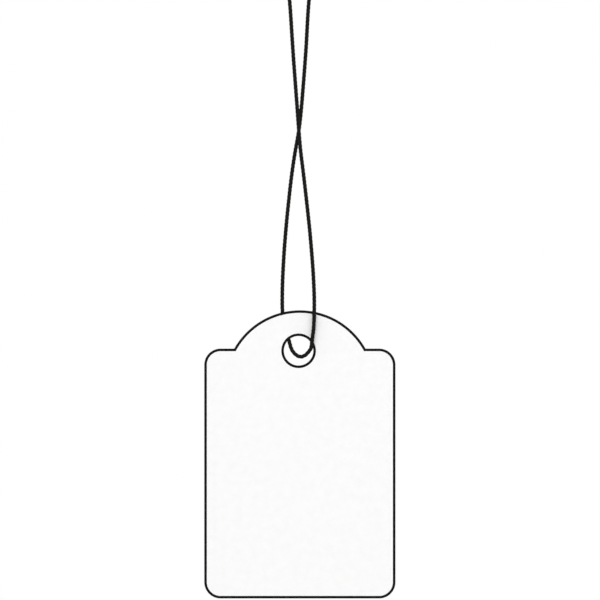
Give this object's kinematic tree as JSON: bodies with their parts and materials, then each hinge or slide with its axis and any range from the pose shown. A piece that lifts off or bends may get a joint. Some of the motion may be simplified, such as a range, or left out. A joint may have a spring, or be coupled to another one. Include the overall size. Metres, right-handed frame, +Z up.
{
  "type": "hang tag",
  "caption": "Blank white card hang tag with a domed top and a round hole, hanging on a knotted loop of black thread.",
  "frame": {"origin": "inside of the thread loop's top, where a peg or hook carries the tag", "axes": "+Z up along the hanging thread, the card's front towards -Y, +X to the right seen from the front"},
  "size_m": [0.0352, 0.0022, 0.1413],
  "materials": {
    "white_card": "uncoated white card with a thin black printed edge line",
    "black_thread": "three-ply twisted thread"
  },
  "bodies": {
    "hanging_loop": {"loop_side_left": "black_thread", "loop_side_right": "black_thread", "end_knot": "black_thread", "tail_left": "black_thread", "tail_right": "black_thread"},
    "upper_thread": {"upper_thread_front": "black_thread", "upper_thread_back": "black_thread"},
    "lower_thread": {"lower_thread_front": "black_thread", "lower_thread_back": "black_thread"},
    "bight": {"thread_bight": "black_thread"},
    "card": {"tag_card": "white_card"}
  },
  "joints": [
    {"name": "side_swing", "type": "hinge", "parent": "hanging_loop", "child": "upper_thread", "pos_m": [0, 0, -0.0025], "axis": [0, 1, 0], "range_deg": [-45, 45], "deforming": ["loop_side_left", "loop_side_right"]},
    {"name": "thread_twist", "type": "hinge", "parent": "upper_thread", "child": "lower_thread", "pos_m": [-0.00019, 0, -0.04295], "axis": [0, 0, 1], "range_deg": [-170, 170], "stiffness_Nm_per_rad": 0.0000006},
    {"name": "fore_aft_tilt", "type": "hinge", "parent": "lower_thread", "child": "bight", "pos_m": [0, 0, -0.0634], "axis": [1, 0, 0], "range_deg": [-35, 35]},
    {"name": "card_turn", "type": "hinge", "parent": "bight", "child": "card", "pos_m": [-0.00023, 0, -0.0834], "axis": [0, 1, 0], "range_deg": [-70, 70]}
  ]
}
